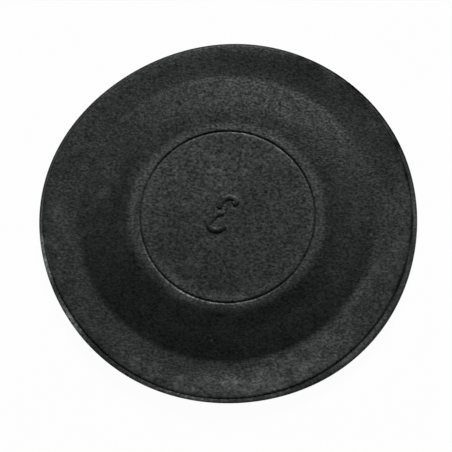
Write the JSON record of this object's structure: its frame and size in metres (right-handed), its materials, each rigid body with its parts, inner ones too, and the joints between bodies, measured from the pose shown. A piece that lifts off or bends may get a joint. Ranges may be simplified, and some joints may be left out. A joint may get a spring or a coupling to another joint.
{
  "type": "anti-drip valve diaphragm",
  "caption": "Round moulded rubber diaphragm with a flat clamping flange, a thin domed web and a raised central sealing pad.",
  "frame": {"origin": "centre of the bounding box at its lowest level, which is the flat back of the flange", "axes": "+Z along the turning axis, out of the face with the raised pad"},
  "size_m": [0.022, 0.022, 0.0013],
  "materials": {
    "diaphragm": "satin black, fine grain"
  },
  "bodies": {
    "root": {"diaphragm": "diaphragm"}
  },
  "joints": []
}
